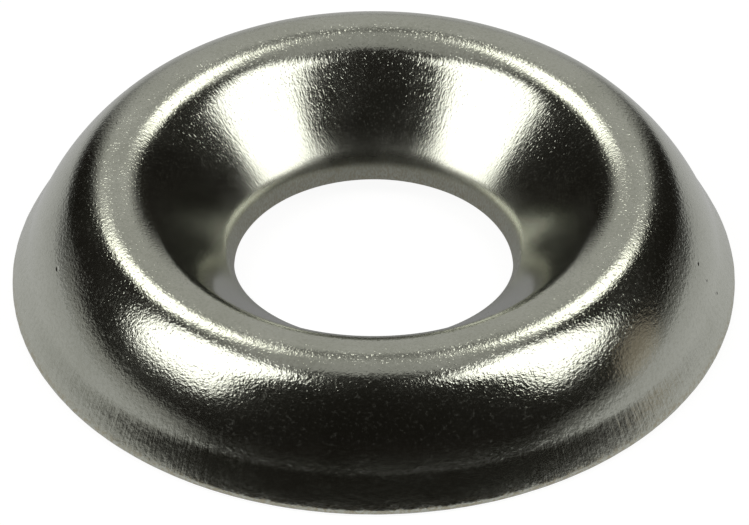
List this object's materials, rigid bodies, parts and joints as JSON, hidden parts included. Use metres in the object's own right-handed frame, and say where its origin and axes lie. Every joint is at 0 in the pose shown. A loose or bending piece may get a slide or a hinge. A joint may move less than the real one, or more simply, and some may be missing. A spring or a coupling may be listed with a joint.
{
  "type": "finishing cup washer",
  "caption": "Pressed sheet-metal finishing washer with a rolled crest, a sloping skirt and a countersunk cup that seats a flat-headed screw and spreads its load.",
  "frame": {"origin": "centre of the ring on the plane that the rim sits on", "axes": "+Z along the screw hole, from the seat towards the crest and the screw head"},
  "size_m": [0.0142, 0.0142, 0.0024],
  "materials": {
    "nickel_plate": "bright nickel plate with a fine tumbled grain"
  },
  "bodies": {
    "root": {"cup_washer": "nickel_plate"}
  },
  "joints": []
}
